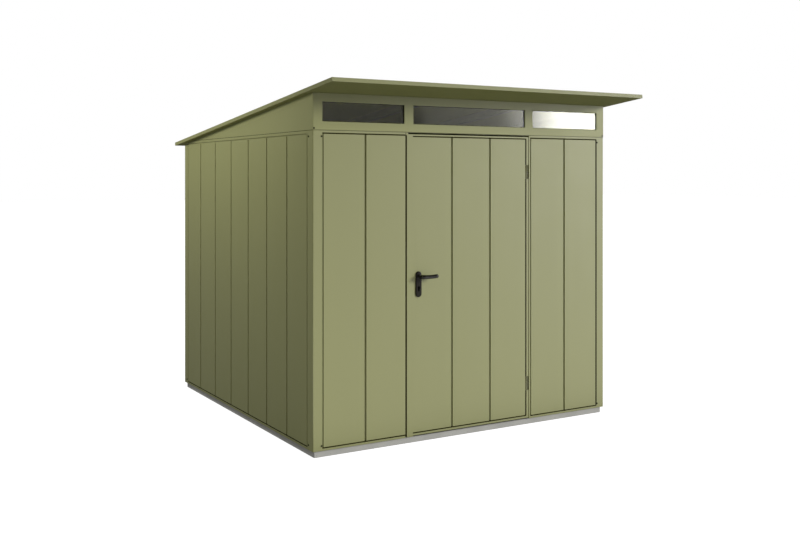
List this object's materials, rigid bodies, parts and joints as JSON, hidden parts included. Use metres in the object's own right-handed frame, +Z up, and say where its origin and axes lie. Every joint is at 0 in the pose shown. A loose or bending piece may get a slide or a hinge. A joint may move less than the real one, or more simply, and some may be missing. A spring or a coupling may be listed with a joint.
{
  "type": "metal storage shed",
  "caption": "Flat-pack sheet-steel garden storage shed with a mono-pitch roof, grooved wall boards, transom windows and a hinged door with a lever handle, on a low base slab.",
  "frame": {"origin": "centre of the base slab's underside, at ground level", "axes": "+Z up; the door side faces -Y, so +X is to the right as seen from in front of the door"},
  "size_m": [2.474, 2.8396, 2.3174],
  "materials": {
    "green_paint": "satin powder coat, sage green",
    "hinge_paint": "satin powder coat, darker sage green",
    "concrete": "smooth cast concrete, plain grey",
    "window_glass": "clear polished pane",
    "bare_steel": "zinc-plated steel",
    "black_fittings": "black, satin"
  },
  "bodies": {
    "shed": {"base_slab": "concrete", "front_left_post": "green_paint", "front_right_post": "green_paint", "back_left_post": "green_paint", "back_right_post": "green_paint", "front_sill_rails": "green_paint", "left_sill_rail": "green_paint", "right_sill_rail": "green_paint", "back_sill_rail": "green_paint", "front_top_rails": "green_paint", "left_top_rail": "green_paint", "right_top_rail": "green_paint", "back_top_rail": "green_paint", "front_left_boards": "green_paint", "front_right_boards": "green_paint", "left_wall_boards": "green_paint", "right_wall_boards": "green_paint", "back_wall_boards": "green_paint", "left_gable": "green_paint", "right_gable": "green_paint", "transom_panel": "green_paint", "transom_back_frame": "green_paint", "left_window_pane": "window_glass", "centre_window_pane": "window_glass", "right_window_pane": "window_glass", "lock_side_jamb": "green_paint", "hinge_side_jamb": "green_paint", "door_head": "green_paint", "strike_plate": "bare_steel", "roof_lining": "green_paint", "roof_panels": "green_paint", "roof_seam_caps": "green_paint", "roof_rafters": "bare_steel", "front_fascia": "green_paint", "rear_fascia": "green_paint", "left_fascia": "green_paint", "right_fascia": "green_paint", "hinge_frame_halves": "hinge_paint"},
    "door": {"door_skin": "green_paint", "door_back_panel": "green_paint", "hinge_door_halves": "hinge_paint", "lock_face_plate": "bare_steel", "outer_lever_plate": "black_fittings", "inner_lever_plate": "black_fittings", "lock_cylinder": "black_fittings"},
    "lever": {"outer_lever": "black_fittings", "inner_lever": "black_fittings", "lever_spindle": "bare_steel"}
  },
  "joints": [
    {"name": "door_swing", "type": "hinge", "parent": "shed", "child": "door", "pos_m": [0.4735, -1.188, 1.04], "axis": [0, 0, 1], "range_deg": [0, 110]},
    {"name": "lever_turn", "type": "hinge", "parent": "door", "child": "lever", "pos_m": [-0.423, -1.173, 1.084], "axis": [0, 1, 0], "range_deg": [0, 40], "stiffness_Nm_per_rad": 1.5, "springref_deg": -17.19}
  ]
}
